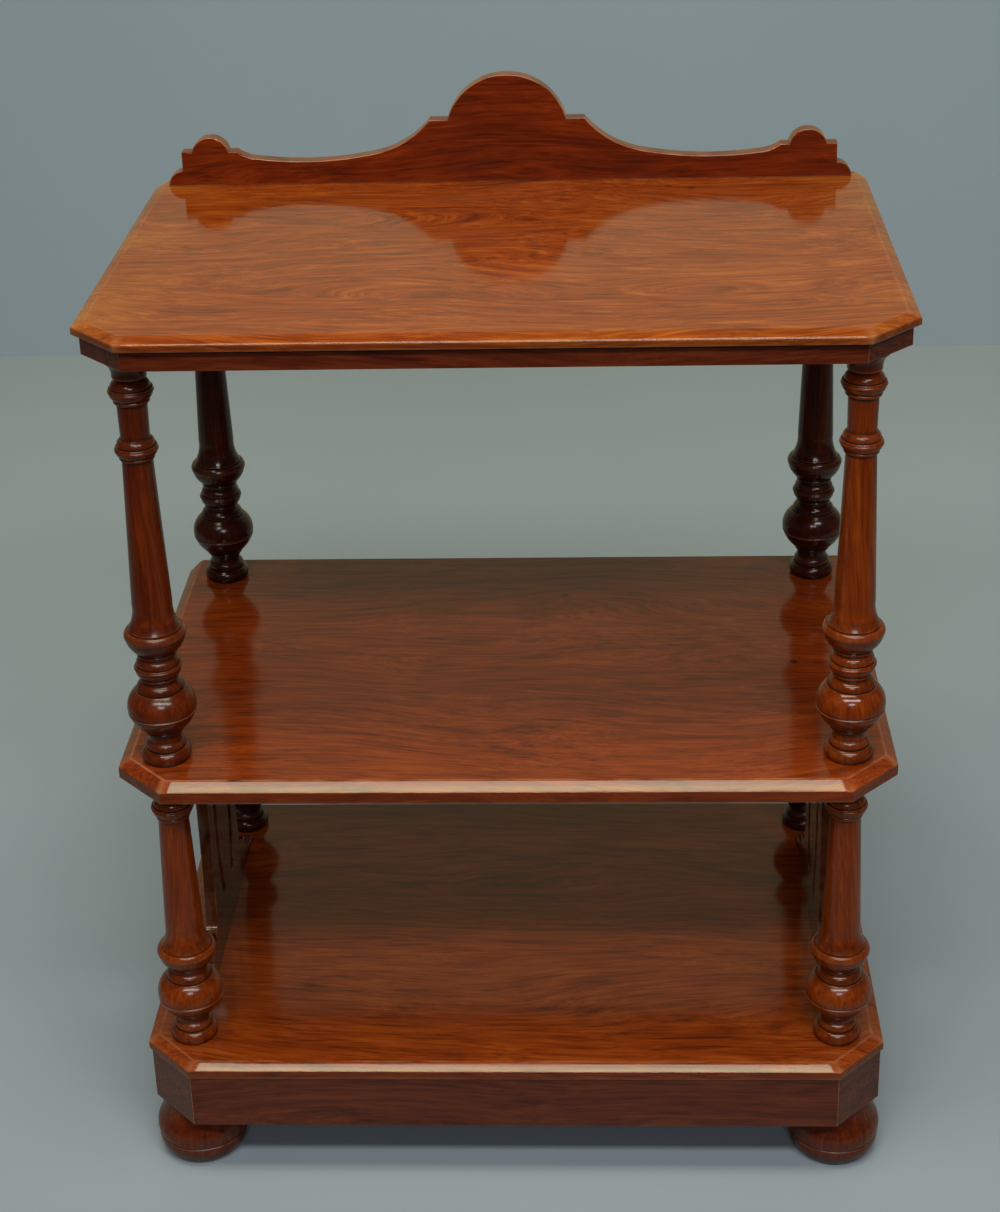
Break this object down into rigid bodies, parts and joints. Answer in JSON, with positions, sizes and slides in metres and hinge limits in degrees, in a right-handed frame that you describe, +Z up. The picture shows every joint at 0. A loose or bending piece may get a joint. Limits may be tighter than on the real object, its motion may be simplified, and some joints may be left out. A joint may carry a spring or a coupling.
{
  "type": "etagere",
  "caption": "Two-tier etagere: three canted boards on turned posts, pierced end panels, a plinth on bun feet and a shaped gallery along the back of the top.",
  "frame": {"origin": "on the floor under the middle of the boards, at the centre of the footprint", "axes": "+X to the viewer's right along the front, +Y from the front to the gallery at the back, +Z up"},
  "size_m": [0.8, 0.516, 1.1002],
  "materials": {
    "polished_board": "glossy french-polished mahogany, straight grain along the width",
    "gallery_wood": "glossy dark red-brown mahogany with a lighter worn top edge",
    "turned_wood": "glossy turned mahogany, orange-brown, darker in the hollows",
    "frame_wood": "polished red-brown mahogany",
    "panel_wood": "polished dark red-brown mahogany, fretted",
    "dowel_wood": "plain pale dowel wood, unfinished",
    "plain_wood": "plain sawn softwood, unfinished",
    "screw_steel": "plain steel, slightly dulled"
  },
  "bodies": {
    "root": {"bottom_board": "polished_board", "bun_foot_back_left": "turned_wood", "bun_foot_back_right": "turned_wood", "bun_foot_front_left": "turned_wood", "bun_foot_front_right": "turned_wood", "end_panel_dowels": "dowel_wood", "end_panel_left": "panel_wood", "end_panel_right": "panel_wood", "frieze_back_rail": "frame_wood", "frieze_block_back_left": "frame_wood", "frieze_block_back_right": "frame_wood", "frieze_block_front_left": "frame_wood", "frieze_block_front_right": "frame_wood", "frieze_cant_left": "frame_wood", "frieze_cant_right": "frame_wood", "frieze_front_rail": "frame_wood", "frieze_glue_blocks": "plain_wood", "frieze_left_rail": "frame_wood", "frieze_right_rail": "frame_wood", "frieze_screws": "screw_steel", "gallery": "gallery_wood", "gallery_dowels": "dowel_wood", "lower_post_back_left": "turned_wood", "lower_post_back_right": "turned_wood", "lower_post_front_left": "turned_wood", "lower_post_front_right": "turned_wood", "middle_board": "polished_board", "plinth_back_rail": "frame_wood", "plinth_block_back_left": "frame_wood", "plinth_block_back_right": "frame_wood", "plinth_block_front_left": "frame_wood", "plinth_block_front_right": "frame_wood", "plinth_cant_left": "frame_wood", "plinth_cant_right": "frame_wood", "plinth_front_rail": "frame_wood", "plinth_glue_blocks": "plain_wood", "plinth_left_rail": "frame_wood", "plinth_right_rail": "frame_wood", "top_board": "polished_board", "upper_post_back_left": "turned_wood", "upper_post_back_right": "turned_wood", "upper_post_front_left": "turned_wood", "upper_post_front_right": "turned_wood"}
  },
  "joints": []
}
